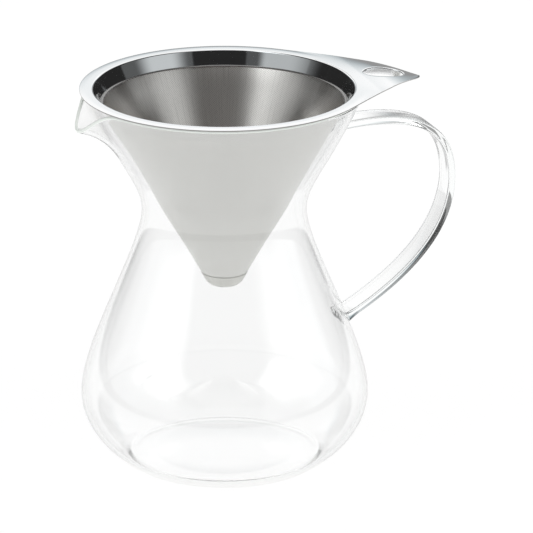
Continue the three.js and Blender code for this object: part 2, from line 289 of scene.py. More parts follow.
def finish_piece(piece: Piece, finish: Material, body: Body, node: str) -> None:
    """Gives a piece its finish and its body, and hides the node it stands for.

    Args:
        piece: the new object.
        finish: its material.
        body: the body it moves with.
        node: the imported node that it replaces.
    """
    piece.data.materials.append(finish)
    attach(piece, body.value)
    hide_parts(node)
    log.info("%s: %d points, stands for %s", piece.name, len(piece.data.vertices), node)


def add_finishes(piece: Piece, finishes: list[Material], index: Array) -> None:
    """Adds more finishes to a piece and says which face has which.

    Args:
        piece: a piece that has its first finish.
        finishes: the materials to add.
        index: number of the finish per face.
    """
    for finish in finishes:
        piece.data.materials.append(finish)
    piece.data.polygons.foreach_set("material_index", index.astype(np.int32))


# Finishes


class Rays(NamedTuple):
    """Switches that are 1 for one kind of ray and 0 for the others."""

    camera: Socket
    through: Socket
    mirrored: Socket
    scattered: Socket
    sharp: Socket


@dataclass
class NodeSheet:
    """A material under construction, with short ways to add and join nodes."""

    name: str
    material: bpy.types.ID | None = None

    def __post_init__(self) -> None:
        """Starts from a lone Principled shader, unless a world is given."""
        if self.material is None:
            self.material = bpy.data.materials.new(self.name)
            self.material.use_nodes = True

    @property
    def tree(self) -> bpy.types.NodeTree:
        """The material's nodes."""
        return self.material.node_tree

    @property
    def shader(self) -> bpy.types.Node:
        """The Principled shader."""
        return self.tree.nodes["Principled BSDF"]

    def add(self, kind: str, inputs: dict | None = None, **settings: object) -> bpy.types.Node:
        """Adds a node.

        Args:
            kind: the node's Blender type.
            inputs: input name or number to a value or to the socket that feeds it.
            settings: properties of the node itself.

        Returns:
            The new node.
        """
        node = self.tree.nodes.new(kind)
        for key, value in settings.items():
            setattr(node, key, value)
        self.feed(node, inputs or {})
        return node

    def feed(self, node: bpy.types.Node, inputs: dict) -> None:
        """Sets inputs of a node to values, or links them to the sockets given.

        Args:
            node: the node.
            inputs: input name or number to a value or a socket.
        """
        for key, value in inputs.items():
            if isinstance(value, Socket):
                self.tree.links.new(value, node.inputs[key])
            else:
                node.inputs[key].default_value = value

    def dress(self, inputs: dict) -> None:
        """Sets or links inputs of the Principled shader."""
        self.feed(self.shader, inputs)

    def finish(self, result: Socket, part: str = "Surface") -> None:
        """Makes the socket given the material's surface or volume."""
        self.feed(self.tree.nodes["Material Output"], {part: result})

    def math(self, operation: str, a: object, b: object = 0.0) -> Socket:
        """One Math node's result."""
        return self.add("ShaderNodeMath", {0: a, 1: b}, operation=operation).outputs[0]

    def measure(self, operation: str, a: object, b: object = (0.0, 0.0, 0.0)) -> Socket:
        """A number worked out from vectors."""
        return self.add("ShaderNodeVectorMath", {0: a, 1: b}, operation=operation).outputs[1]

    def noise(self, scale: float, vector: object, detail: float = 2.0) -> Socket:
        """A noise texture's value on the given coordinates."""
        inputs = {"Vector": vector, "Scale": scale, "Detail": detail}
        return self.add("ShaderNodeTexNoise", inputs).outputs[0]

    def spread(self, value: object, low: object, high: object) -> Socket:
        """A value from 0 to 1 mapped to a range."""
        inputs = {"Value": value, "To Min": low, "To Max": high}
        return self.add("ShaderNodeMapRange", inputs).outputs[0]

    def share(self, value: object, low: float, high: float) -> Socket:
        """Share of the way of a value from low to high, from 0 to 1."""
        inputs = {"Value": value, "From Min": low, "From Max": high}
        return self.add("ShaderNodeMapRange", inputs).outputs[0]

    def ramp(self, value: object, ends: tuple, levels: tuple = (0.0, 1.0)) -> Socket:
        """A value mapped by a smooth step between two ends to two levels, held beyond them."""
        inputs = dict(zip(("Value", "From Min", "From Max", "To Min", "To Max"), (value, *ends, *levels)))
        return self.add("ShaderNodeMapRange", inputs, interpolation_type="SMOOTHSTEP").outputs[0]

    def blend(self, share: object, first: object, second: object) -> Socket:
        """A colour between two others, by the colour sockets of a Mix node."""
        inputs = {0: share, 6: first, 7: second}
        return self.add("ShaderNodeMix", inputs, data_type="RGBA").outputs[2]

    def bump(self, height: object, strength: float, distance: float) -> None:
        """Gives the shader a bump from a height."""
        inputs = {"Height": height, "Strength": strength, "Distance": distance}
        self.dress({"Normal": self.add("ShaderNodeBump", inputs).outputs[0]})

    def object_coordinates(self) -> Socket:
        """Coordinates fixed to the piece, in metres."""
        return self.add("ShaderNodeTexCoord").outputs["Object"]

    def surface_coordinates(self) -> tuple[Socket, Socket, Socket]:
        """The piece's own surface coordinates, both together and then one by one."""
        uv = self.add("ShaderNodeUVMap", uv_map="surface").outputs[0]
        return uv, *self.add("ShaderNodeSeparateXYZ", {0: uv}).outputs[:2]

    def streaks(self, flat_sheet: tuple, across: float, along: float) -> Socket:
        """Noise drawn out along a cone's slant, on the polar coordinates of its flat sheet.

        Args:
            flat_sheet: surface coordinates, together and one by one.
            across: streaks per radian round the sheet.
            along: streaks per metre of slant.

        Returns:
            Noise around 0.5.
        """
        uv, u, v = flat_sheet
        turn = self.math("MULTIPLY", self.math("ARCTAN2", v, u), across)
        slant = self.math("MULTIPLY", self.measure("LENGTH", uv), along)
        return self.noise(1.0, self.add("ShaderNodeCombineXYZ", {0: turn, 1: slant}).outputs[0])

    def light_paths(self) -> Rays:
        """Tells rays apart. Those out of glass may count as glossy too, so mirrored omits them.

        Returns:
            Switches for rays from the camera, out of glass, off mirrors, off matt surfaces and
            off perfectly sharp ones.
        """
        path = self.add("ShaderNodeLightPath").outputs
        through = path["Is Transmission Ray"]
        mirrored = self.math("MAXIMUM", self.math("SUBTRACT", path["Is Glossy Ray"], through))
        camera, scattered, sharp = (path[f"Is {kind} Ray"] for kind in ("Camera", "Diffuse", "Singular"))
        return Rays(camera, through, mirrored, scattered, sharp)


@dataclass(frozen=True)
class ClearGlass:
    """Blown heat-proof glass with faint ripples and a green tint where light runs far in it.

    A clear film at foot and heel lets the light behind them through unbent where they are seen
    edge-on, so that the base has no dark outline.
    """

    name: str = "clear_glass"
    ior: float = 1.47
    ripple_scale: float = 34.0
    ripple_height: float = 0.008 * MM
    colour: tuple = (0.983, 0.983, 0.983, 1.0)
    tint: tuple = (0.72, 0.93, 0.86, 1.0)
    tint_density: float = 3.5
    film: bool = True
    film_run: float = 0.25
    film_colour: tuple = (0.978, 0.974, 0.972, 1.0)

    def material(self) -> Material:
        """Builds the glass.

        Returns:
            The new material.
        """
        sheet = NodeSheet(self.name)
        sheet.dress({"Base Color": self.colour, "Roughness": 0.0})
        sheet.dress({"IOR": self.ior, "Transmission Weight": 1.0})
        ripples = sheet.noise(self.ripple_scale, sheet.object_coordinates(), detail=1.0)
        sheet.bump(ripples, 1.0, self.ripple_height)
        tint = {"Color": self.tint, "Density": self.tint_density}
        sheet.finish(sheet.add("ShaderNodeVolumeAbsorption", tint).outputs[0], "Volume")
        if self.film:
            sheet.finish(self.filmed(sheet))
        return sheet.material

    def filmed(self, sheet: NodeSheet) -> Socket:
        """Mixes the film into the glass where it is seen edge-on.

        Args:
            sheet: the material under construction.

        Returns:
            The mixed surface. The piece's surface coordinates say how much film there is, and
            how far the surface has to turn away before the film starts.
        """
        _, level, start = sheet.surface_coordinates()
        facing = sheet.add("ShaderNodeLayerWeight", {"Blend": 0.5}).outputs["Facing"]
        turned_away = sheet.ramp(facing, (start, sheet.math("ADD", start, self.film_run)))
        share = sheet.math("MULTIPLY", level, turned_away)
        film = sheet.add("ShaderNodeBsdfTransparent", {"Color": self.film_colour}).outputs[0]
        inputs = {0: share, 1: sheet.shader.outputs[0], 2: film}
        return sheet.add("ShaderNodeMixShader", inputs).outputs[0]


@dataclass(frozen=True)
class LipGlass:
    """Fire-polished lip, where light that has run far inside the wall comes out pale green."""

    name: str = "lip_glass"
    colour: tuple = (0.94, 0.985, 0.945, 1.0)
    ior: float = 1.47
    milkiness: float = 0.85
    haze_scale: float = 120.0
    roughness: tuple = (0.04, 0.1)

    def material(self) -> Material:
        """Builds the lip's glass, mostly milky so that it glows softly.

        Returns:
            The new material.
        """
        sheet = NodeSheet(self.name)
        haze = sheet.noise(self.haze_scale, sheet.object_coordinates())
        sheet.dress({"Base Color": self.colour, "Roughness": sheet.spread(haze, *self.roughness)})
        sheet.dress({"IOR": self.ior, "Transmission Weight": 1 - self.milkiness})
        return sheet.material


@dataclass(frozen=True)
class PolishedSteel:
    """Polished stainless sheet with faint haze and polishing marks, duller when rougher."""

    name: str = "polished_steel"
    colour: tuple = (0.88, 0.885, 0.89, 1.0)
    roughness: tuple = (0.035, 0.075)
    haze_scale: float = 55.0
    haze_detail: float = 4.0
    mark_scale: float = 2600.0
    mark_strength: float = 0.3
    mark_height: float = 0.0015 * MM

    def material(self) -> Material:
        """Builds the polished finish.

        Returns:
            The new material.
        """
        sheet = NodeSheet(self.name)
        where = sheet.object_coordinates()
        haze = sheet.noise(self.haze_scale, where, self.haze_detail)
        sheet.dress({"Base Color": self.colour, "Metallic": 1.0})
        sheet.dress({"Roughness": sheet.spread(haze, *self.roughness)})
        sheet.bump(sheet.noise(self.mark_scale, where), self.mark_strength, self.mark_height)
        return sheet.material


@dataclass(frozen=True)
class SatinSteel:
    """Satin stainless sheet with a fine pattern of etched holes on its own surface coordinates."""

    name: str = "satin_steel"
    colour: tuple = (0.72, 0.72, 0.695, 1.0)
    hole_colour: tuple = (0.54, 0.54, 0.52, 1.0)
    roughness: tuple = (0.3, 0.42)
    grain: tuple = (60.0, 12.0)
    pitch: float = 0.55 * MM
    hole_edge: tuple = (0.45, 0.75)
    dent_strength: float = 0.4
    dent: float = 0.02 * MM

    def material(self) -> Material:
        """Builds the satin finish: holes sit where the product of two cosines is high.

        Returns:
            The new material.
        """
        sheet = NodeSheet(self.name)
        flat_sheet = sheet.surface_coordinates()
        turns = [sheet.math("MULTIPLY", way, 2 * math.pi / self.pitch) for way in flat_sheet[1:]]
        cells = sheet.math("MULTIPLY", *[sheet.math("COSINE", turn) for turn in turns])
        hole = sheet.share(cells, *self.hole_edge)
        grain = sheet.streaks(flat_sheet, *self.grain)
        sheet.dress({"Base Color": sheet.blend(hole, self.colour, self.hole_colour), "Metallic": 1.0})
        sheet.dress({"Roughness": sheet.spread(grain, *self.roughness)})
        sheet.bump(sheet.math("SUBTRACT", 1.0, hole), self.dent_strength, self.dent)
        return sheet.material


@dataclass(frozen=True)
class WovenSteel:
    """Fine plain-woven wire: two crossing sets of threads that pass over and under each other."""

    name: str = "woven_steel"
    colour: tuple = (1.0, 0.96, 0.92, 1.0)
    gap_colour: tuple = (0.36, 0.33, 0.3, 1.0)
    streaks: tuple = (0.55, 1.45)
    grain: tuple = (220.0, 40.0)
    roughness: float = 0.28
    anisotropy: float = 0.8
    anisotropy_turn: float = 0.25
    pitch: float = 0.75 * MM
    lift: float = 0.4
    cover: tuple = (0.35, 0.85)
    wire_strength: float = 0.35
    wire: float = 0.05 * MM

    def material(self) -> Material:
        """Builds the weave: the higher of |sin u| + c and |sin v| - c, with c = lift cos u cos v.

        Returns:
            The new material.
        """
        sheet = NodeSheet(self.name)
        flat_sheet = sheet.surface_coordinates()
        turns = [sheet.math("MULTIPLY", way, math.pi / self.pitch) for way in flat_sheet[1:]]
        first, second = (sheet.math("ABSOLUTE", sheet.math("SINE", turn)) for turn in turns)
        crossing = sheet.math("MULTIPLY", *[sheet.math("COSINE", turn) for turn in turns])
        lift = sheet.math("MULTIPLY", crossing, self.lift)
        over, under = sheet.math("ADD", first, lift), sheet.math("SUBTRACT", second, lift)
        height = sheet.math("MAXIMUM", over, under)
        streak = sheet.spread(sheet.streaks(flat_sheet, *self.grain), *self.streaks)
        share = sheet.math("MULTIPLY", streak, sheet.share(height, *self.cover))
        tangent = sheet.add("ShaderNodeTangent", direction_type="RADIAL", axis="Z").outputs[0]
        sheet.dress({"Base Color": sheet.blend(share, self.gap_colour, self.colour), "Metallic": 1.0})
        sheet.dress({"Roughness": self.roughness, "Tangent": tangent})
        sheet.dress({"Anisotropic": self.anisotropy, "Anisotropic Rotation": self.anisotropy_turn})
        sheet.bump(height, self.wire_strength, self.wire)
        return sheet.material


STRAP_GLASS = ClearGlass("strap_glass", film=False)
TIP_STEEL = SatinSteel("tip_steel", colour=(0.66, 0.66, 0.63, 1.0), hole_colour=(0.52, 0.52, 0.495, 1.0))
# The hem band's dark colour is painted shade: far below polished steel, so the hem's line in the crease
# under the collar reads dim.
HEM_SHADED_STEEL = PolishedSteel("hem_shaded_steel", colour=(0.2, 0.195, 0.19, 1.0), roughness=(0.2, 0.3))
UNDERSIDE_STEEL = PolishedSteel("rolled_steel", colour=(0.7, 0.7, 0.68, 1.0), roughness=(0.3, 0.42))
# Cut edges of the rim sheet are coloured dark, so the rim's edge shows as a thin dark line.
CUT_STEEL = PolishedSteel("cut_steel", colour=(0.36, 0.35, 0.34, 1.0), roughness=(0.25, 0.35))
DRAWN_STEEL = PolishedSteel("drawn_steel", colour=(0.95, 0.955, 0.96, 1.0), roughness=(0.2, 0.28))


# The pot


@dataclass
class Jug:
    """Blown glass jug with a pulled spout and a fused strap handle."""

    # Foot, wall and mouth
    wall: float = 1.9 * MM
    foot_radius: float = 44 * MM
    foot_hollow: float = 0.8 * MM
    base_thickness: float = 2.4 * MM
    floor_rise: float = 1.4 * MM
    floor_radius: float = 34 * MM
    floor_blend: float = 7 * MM
    floor_pull: float = 0.45
    belly_radius: float = 65.2 * MM
    belly_height: float = 31.4 * MM
    neck_radius: float = 37.2 * MM
    neck_height: float = 118 * MM
    mouth_radius: float = 62.6 * MM
    wall_top: float = 172.86 * MM
    heel_angle: float = 28
    heel_pull: float = 4 * MM
    belly_pulls: tuple = (18 * MM, 22 * MM)
    neck_pulls: tuple = (17.7 * MM, 12.8 * MM)
    flare_angle: float = 24.06
    flare_pull: float = 37.5 * MM
    # Film: its level and how far the surface turns away before it starts
    film_heights: tuple = (5 * MM, 11 * MM)
    foot_film: tuple = (0.95, 0.3)
    wall_film: tuple = (0.0, 0.6)
    # Spout
    spout_reach: float = 6 * MM
    spout_drop: float = 12.2 * MM
    spout_depth: float = 29 * MM
    spout_spread: float = 12
    spout_crowding: float = 0.4
    # Strap
    strap_width: float = 14 * MM
    strap_thickness: float = 3.4 * MM
    strap_edge: float = 1.1 * MM
    strap_reach: float = 107.3 * MM
    strap_top: float = 152.4 * MM
    strap_apex: float = 123.5 * MM
    strap_foot: float = 60.5 * MM
    strap_angles: tuple = (7, 28)
    strap_pulls: tuple = (43 * MM, 23 * MM, 29.2 * MM, 28 * MM)
    strap_inset: float = 1.5
    fuse_run: float = 7 * MM
    fuse_spread: float = 1.2 * MM
    # Steps of the grids
    columns: int = 216
    profile_steps: int = 52
    lip_steps: int = 10
    floor_rows: int = 26
    strap_rows: int = 260
    strap_path_steps: int = 800
    strap_edge_steps: int = 12
    lip_faces: Array | None = field(default=None, init=False)

    def profile(self) -> Array:
        """Outer face in section, three Bezier curves: heel to belly, belly to neck, neck to lip.

        Returns:
            Radius and height of the points from the foot up.
        """
        below, above = self.belly_pulls
        under, over = self.neck_pulls
        foot = np.array([self.foot_radius, 0])
        belly = np.array([self.belly_radius, self.belly_height])
        neck = np.array([self.neck_radius, self.neck_height])
        lip = np.array([self.mouth_radius, self.wall_top])
        heel_corner = foot + self.heel_pull * heading(self.heel_angle)
        flare_corner = lip - self.flare_pull * heading(90 - self.flare_angle)
        curves = [
            np.array([foot, heel_corner, belly - below * UP, belly]),
            np.array([belly, belly + above * UP, neck - under * UP, neck]),
            np.array([neck, neck + over * UP, flare_corner, lip]),
        ]
        return chain(curves, self.profile_steps)

    def wall_radius(self, height: Array) -> Array:
        """Outer radius at a height, read off the profile."""
        profile = self.profile()
        return np.interp(height, profile[:, 1], profile[:, 0])

    def surface(self, radius: Array, height: Array) -> Array:
        """Points at the given radii and heights all round, with the spout pulled out and down.

        The pull is exp(-(angle / spread)^2) times the square of the rise towards the lip. Angles
        are counted from the spout and lie closer together near it: t - c sin t.

        Args:
            radius: one radius per row.
            height: one height per row.

        Returns:
            Points, row by column.
        """
        turn = np.linspace(0, 2 * np.pi, self.columns, endpoint=False)
        angle = (turn - self.spout_crowding * np.sin(turn))[None]
        off = np.arctan2(np.sin(angle), np.cos(angle)) / math.radians(self.spout_spread)
        rise = np.clip((height - self.wall_top + self.spout_depth) / self.spout_depth, 0, 1)
        pull = np.exp(-off * off) * rise[:, None] ** 2
        r = radius[:, None] + self.spout_reach * pull
        z = height[:, None] - self.spout_drop * pull
        return np.stack([-r * np.cos(angle), -r * np.sin(angle), z], axis=-1)

    def floor_section(self, wall_end: Array, fall: Array) -> Array:
        """Section of the floor inside, from the wall's end over a wide curve to its domed middle.

        The dome rises with the square of the share of the way in. The curve is a Bezier one that
        leaves the wall along it and meets the dome level.

        Args:
            wall_end: last point of the inner wall, radius and height.
            fall: step along the wall towards the floor.

        Returns:
            Radius and height of the points after the wall's end.
        """
        share = np.linspace(1, 0, self.floor_rows)
        rise = self.base_thickness + self.floor_rise * (1 - share**2)
        dome = np.stack([self.floor_radius * share, rise], axis=1)
        pull = self.floor_pull * np.linalg.norm(wall_end - dome[0])
        level = dome[0] + np.array([pull, 0])
        corners = np.array([wall_end, wall_end + pull * unit(fall), level, dome[0]])
        blend = bezier(corners, np.linspace(0, 1, self.floor_rows))
        return np.vstack([blend[1:], dome[1:]])

    def build_body(self) -> Piece:
        """One closed shell: foot, outer wall, half-round lip, inner wall and domed floor.

        The inner wall is the outer one moved in along its normals by the wall, and the lip turns
        half round between them.

        Returns:
            The new object, whose surface coordinates give the film on the glass.
        """
        profile = self.profile()
        outer = self.surface(profile[:, 0], profile[:, 1])
        along_rim = np.roll(outer, -1, axis=1) - np.roll(outer, 1, axis=1)
        out = unit(np.cross(along_rim, np.gradient(outer, axis=0)))
        up = unit(np.cross(out[-1], along_rim[-1]))
        turn = np.linspace(0, np.pi, self.lip_steps + 1)[1:-1, None, None]
        lip = outer[-1] + self.wall / 2 * ((np.cos(turn) - 1) * out[-1] + np.sin(turn) * up)
        inner = (outer - self.wall * out)[::-1]
        inner = inner[inner[:, 0, 2] > self.floor_blend]
        opposite = inner[:, self.columns // 2][:, [0, 2]]
        floor_section = self.floor_section(opposite[-1], opposite[-1] - opposite[-2])
        floor = self.surface(floor_section[:, 0], floor_section[:, 1])
        share = np.linspace(0, 1, self.floor_rows)[:-1]
        foot = self.surface(self.foot_radius * share, self.foot_hollow * (1 - share**2) ** 2)
        rows = np.concatenate([foot, outer, lip, inner, floor])
        low = np.zeros((len(rows), 1))
        low[: len(foot)] = 1
        lip_row = len(foot) + len(outer) - 1
        low[len(foot) : lip_row + 1, 0] = 1 - smooth_step(profile[:, 1], *self.film_heights)
        film = low * np.array(self.foot_film) + (1 - low) * np.array(self.wall_film)
        uv = np.repeat(film[:, None], self.columns, axis=1)
        body = new_piece("jug_glass", rows, grid_quads(len(rows), self.columns, False, True), uv)
        face_row = np.arange(len(body.data.polygons)) // self.columns
        self.lip_faces = (face_row >= lip_row) & (face_row < lip_row + self.lip_steps)
        return body

    def strap_path(self) -> Array:
        """Middle line of the strap in the XZ plane, two Bezier curves that meet at its apex.

        Returns:
            Evenly spaced points from the upper end to the lower.
        """
        climb, slope = self.strap_angles
        top_pull, shoulder, hip, foot_pull = self.strap_pulls
        inset = self.wall * self.strap_inset
        top = np.array([self.wall_radius(self.strap_top) - inset, self.strap_top])
        apex = np.array([self.strap_reach, self.strap_apex])
        foot = np.array([self.wall_radius(self.strap_foot) - inset, self.strap_foot])
        curves = [
            np.array([top, top + top_pull * heading(climb), apex + shoulder * UP, apex]),
            np.array([apex, apex - hip * UP, foot + foot_pull * heading(slope), foot]),
        ]
        return even_path(chain(curves, self.strap_path_steps), self.strap_rows)

    def build_handle(self) -> Piece:
        """Strap of rounded section along its path, fuller at its ends, ended inside the wall.

        The section stands square to the path and grows with the square of the way into a fused
        end. Its points go no further in than the middle of the jug's wall.

        Returns:
            The new object.
        """
        path = self.strap_path()
        tangent = unit(np.gradient(path, axis=0))
        run = np.linalg.norm(np.diff(path, axis=0), axis=1).sum()
        along = np.linspace(0, run, self.strap_rows)
        from_end = np.minimum(along, run - along) - self.wall
        fuse = self.fuse_spread * np.clip(1 - from_end / self.fuse_run, 0, 1) ** 2
        half = np.array([self.strap_width, self.strap_thickness]) / 2
        corners = np.array([[1, 1], [-1, 1], [-1, -1], [1, -1]]) * half
        section = rounded_section(corners, self.strap_edge, self.strap_edge_steps)
        across = section[:, 0] * (1 + fuse / self.strap_width)[:, None]
        through = section[:, 1] * (1 + fuse / self.strap_thickness)[:, None]
        x = path[:, :1] - tangent[:, 1:] * through
        z = path[:, 1:] + tangent[:, :1] * through
        middle = self.wall_radius(z) - self.wall / 2
        x = np.maximum(x, np.sqrt(np.maximum(middle**2 - across**2, 0)))
        rings = np.stack([x, across, z], axis=-1)
        first, last = (np.broadcast_to(ring.mean(axis=0), (1, *ring.shape)) for ring in rings[[0, -1]])
        rows = np.concatenate([first, rings, last])
        return new_piece("jug_strap", rows, grid_quads(len(rows), len(section), False, True))

    def build(self) -> None:
        """Makes both glass pieces and dresses them, the lip in its own finish."""
        body, strap = self.build_body(), self.build_handle()
        finish_piece(body, ClearGlass().material(), Body.JUG, "glass_body")
        finish_piece(strap, STRAP_GLASS.material(), Body.JUG, "glass_handle")
        for piece in (body, strap):
            piece.visible_shadow = False
            piece.visible_diffuse = False
        add_finishes(body, [LipGlass().material()], self.lip_faces)


@dataclass
class ConeFilter:
    """Steel cone filter that hangs in the mouth of the jug by its rim plate."""

    # Sheets
    sheet: float = 0.5 * MM
    sheet_edge: float = 0.12 * MM
    cone_sheet: float = 0.3 * MM
    mesh_sheet: float = 0.2 * MM
    hem_sheet: float = 0.3 * MM
    insert_sheet: float = 0.4 * MM
    cap_sheet: float = 0.16 * MM
    cap_edge: float = 0.06 * MM
    lap: float = 0.1 * MM
    edge_share: float = 0.3
    # Cone, collar and rim
    top_radius: float = 58.6 * MM
    half_angle: float = 29.06
    rim_radius: float = 64.7 * MM
    rim_bend: float = 1.0 * MM
    rim_roll: float = 3.2 * MM
    rim_crown: float = 0.1 * MM
    collar_drop: float = 6.3 * MM
    collar_lap: float = 1.0 * MM
    hem_height: float = 0.3 * MM
    # Tab and hole
    tab_spread: float = 48.5
    tab_blend: tuple = (24, 44)
    tab_length: float = 28.7 * MM
    tab_side_pull: float = 46 * MM
    tab_tip_pull: float = 3.5 * MM
    tab_slope: float = 1.6
    tab_droop: float = 4 * MM
    tab_flat: float = 8 * MM
    tab_bend: float = 1.8
    tab_crown: float = 0.55 * MM
    tab_least_half: float = 1 * MM
    crown_start: tuple = (52 * MM, 74 * MM)
    hole_from_rim: float = 11.2 * MM
    hole_half: tuple = (9.2 * MM, 7.1 * MM)
    hole_depth: float = 2.8 * MM
    hole_flare: float = 0.7 * MM
    # Tip
    tip_radius: float = 8.7 * MM
    tip_lap: float = 3 * MM
    tip_drop: float = 3.2 * MM
    tip_flat: float = 4.6 * MM
    # Steps of the grids
    columns: int = 240
    slant_rows: int = 12
    edge_steps: int = 3
    collar_steps: int = 10
    bend_steps: int = 9
    flat_rows: int = 14
    tab_columns: int = 60
    tab_path_steps: int = 400
    tab_corner: float = 26
    tab_rows: int = 22
    tip_columns: int = 96
    tip_heel_steps: int = 12
    tip_flat_steps: int = 6
    hole_faces: Array | None = field(default=None, init=False)

    def __post_init__(self) -> None:
        """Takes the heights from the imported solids."""
        self.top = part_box("rim_plate")[1].z
        self.slope = math.tan(math.radians(self.half_angle))
        self.slant = math.cos(math.radians(self.half_angle))
        self.cone_top = self.top - self.collar_drop
        self.cone_foot = self.top - (self.top_radius - self.tip_radius) / self.slope

    def radius(self, height: Array, layer: float) -> Array:
        """Radius of a face of the cone: straight in height, moved out by layer square to it."""
        return self.top_radius - (self.top - height) * self.slope + layer / self.slant

    def on_cone(self, *places: tuple) -> Array:
        """Radius and height of points on faces of the cone, each given by its height and layer."""
        return np.array([[self.radius(height, layer), height] for height, layer in places])

    def sleeve(self, foot: float, top: float, inside: float, outside: float) -> Array:
        """Closed section between two heights and two layers, its edges slightly rounded."""
        corners = self.on_cone((foot, inside), (foot, outside), (top, outside), (top, inside))
        return rounded_section(corners, (outside - inside) * self.edge_share, self.edge_steps)

    def build_sleeve(self, name: str, inside: float, outside: float) -> Piece:
        """Conical sleeve whose surface coordinates are those of the flat sheet it is rolled from.

        At slant length s from the apex and angle a, the flat sheet has s and a sin(half angle)
        as polar coordinates.

        Args:
            name: the piece's name.
            inside: layer of the inner face.
            outside: layer of the outer face.

        Returns:
            The new object.
        """
        section = self.sleeve(self.cone_foot, self.cone_top, inside, outside)
        sides = zip(section, np.roll(section, -1, axis=0))
        section = np.vstack([even_segment(a, b, self.slant_rows) for a, b in sides])
        angle = np.linspace(-np.pi, np.pi, self.columns + 1)
        sine = math.sin(math.radians(self.half_angle))
        uv = around(section / sine, angle * sine)[..., :2]
        quads = grid_quads(len(section), self.columns + 1, True, False)
        return new_piece(name, around(section, angle), quads, uv)

    def outline(self) -> Array:
        """Edge of the rim plate in plan from the tab's tip round to the tip again.

        Each side of the tab is a Bezier curve that leaves the round rim along its tangent.

        Returns:
            Points of the edge, the last one beside the first.
        """
        start = self.rim_radius * heading(self.tab_spread)
        side = start + self.tab_side_pull * heading(self.tab_spread - 90)
        tip = np.array([self.rim_radius + self.tab_length, 0])
        corners = np.array([tip, tip + self.tab_tip_pull * UP, side, start])
        tab = bezier(corners, np.linspace(0, 1, self.tab_path_steps))
        tab = even_path(tab, self.tab_columns + 1)
        turn = np.linspace(self.tab_spread, 360 - self.tab_spread, self.columns + 1)[1:-1]
        arc = self.rim_radius * heading(turn)
        mirrored = tab[:0:-1] * np.array([1, -1])
        return np.vstack([tab, arc, mirrored])

    def collar_rows(self) -> Array:
        """Section of the collar's inner face and of the bend that it ends in.

        Returns:
            Radius and height of the points, foot first.
        """
        half_bend = math.radians(90 - self.half_angle) / 2
        axis = self.radius(self.top, self.lap) + self.rim_bend * math.tan(half_bend)
        turn = np.linspace(180 - self.half_angle, 90, self.bend_steps)
        bend = np.array([axis, self.top - self.rim_bend]) + self.rim_bend * heading(turn)
        rise = np.linspace(self.cone_top - self.collar_lap, bend[0, 1], self.collar_steps)[:-1]
        return np.vstack([np.stack([self.radius(rise, self.lap), rise], axis=1), bend])

    def crowned(self, plan: Array) -> Array:
        """Heights of the plate's top face: the rim's outer part rolls off and the tab droops.

        The roll grows with the square of the way to the edge and stops beside the tab. The tab
        falls in a straight slope and, past its flat part, by a power of the way to its tip. Its
        crown falls off with the square of the way to its sides.

        Args:
            plan: points of the plate in plan.

        Returns:
            One height per point.
        """
        r = np.linalg.norm(plan, axis=-1)
        turn = np.degrees(np.abs(np.arctan2(plan[..., 1], plan[..., 0])))
        off_tab = smooth_step(turn, *self.tab_blend)
        out = np.clip((r - self.rim_radius) / self.rim_roll + 1, 0, 1)
        roll = self.rim_crown * out**2 * off_tab
        reach = np.clip(plan[..., 0] - self.rim_radius, 0, self.tab_length)
        share = np.clip((reach - self.tab_flat) / (self.tab_length - self.tab_flat), 0, 1)
        slope = math.tan(math.radians(self.tab_slope))
        bend = self.tab_droop - slope * self.tab_length
        droop = slope * reach + bend * share**self.tab_bend
        side = self.outline()[: self.tab_columns + 1][::-1]
        half = np.maximum(np.interp(plan[..., 0], side[:, 0], side[:, 1]), self.tab_least_half)
        across = np.clip(np.abs(plan[..., 1]) / half, 0, 1)
        crown = self.tab_crown * (across**2 - 0.5) * smooth_step(plan[..., 0], *self.crown_start)
        return self.top - roll - droop - crown

    def lifted(self, plan: Array) -> Array:
        """Points of the plate's top face over a plan."""
        return np.concatenate([plan, self.crowned(plan)[..., None]], axis=-1)

    def tab_rings(self, border: Array) -> tuple[Array, Array]:
        """Rings round the hole, on the tab from its oval to the border, and down its drawn wall.

        The rings' directions lie halfway between those of the border's points and an even turn.
        The wall leaves the tab over a quarter round and ends straight.

        Args:
            border: plan of the patch's edge, all round the hole.

        Returns:
            Points of the rings on the tab, border first, and of those down the wall.
        """
        centre = np.array([self.rim_radius + self.hole_from_rim, 0])
        half = np.array(self.hole_half)
        way = (border - centre) / (half + self.hole_flare)
        turn = np.unwrap(np.arctan2(way[:, 1], way[:, 0]))
        full_turn = 2 * np.pi * np.sign(turn[-1] - turn[0])
        even = turn[0] + np.linspace(0, full_turn, len(turn), endpoint=False)
        way = heading(np.degrees(turn + even) / 2)
        oval = centre + way * (half + self.hole_flare)
        grow = np.linspace(0, 1, self.tab_rows)[:, None, None]
        tab = self.lifted(oval * (1 - grow) + border * grow)
        bend = np.linspace(0, np.pi / 2, self.bend_steps)[:, None]
        flare = centre + way * (half + self.hole_flare * (1 - np.sin(bend)))[:, None]
        depth = self.sheet + self.hole_depth
        straight = [[(depth + self.hole_flare) / 2], [depth]]
        wall = self.lifted(np.concatenate([flare, flare[-1:], flare[-1:]]))
        wall[..., 2] -= np.concatenate([self.hole_flare * (1 - np.cos(bend)), straight])
        return tab[::-1], wall

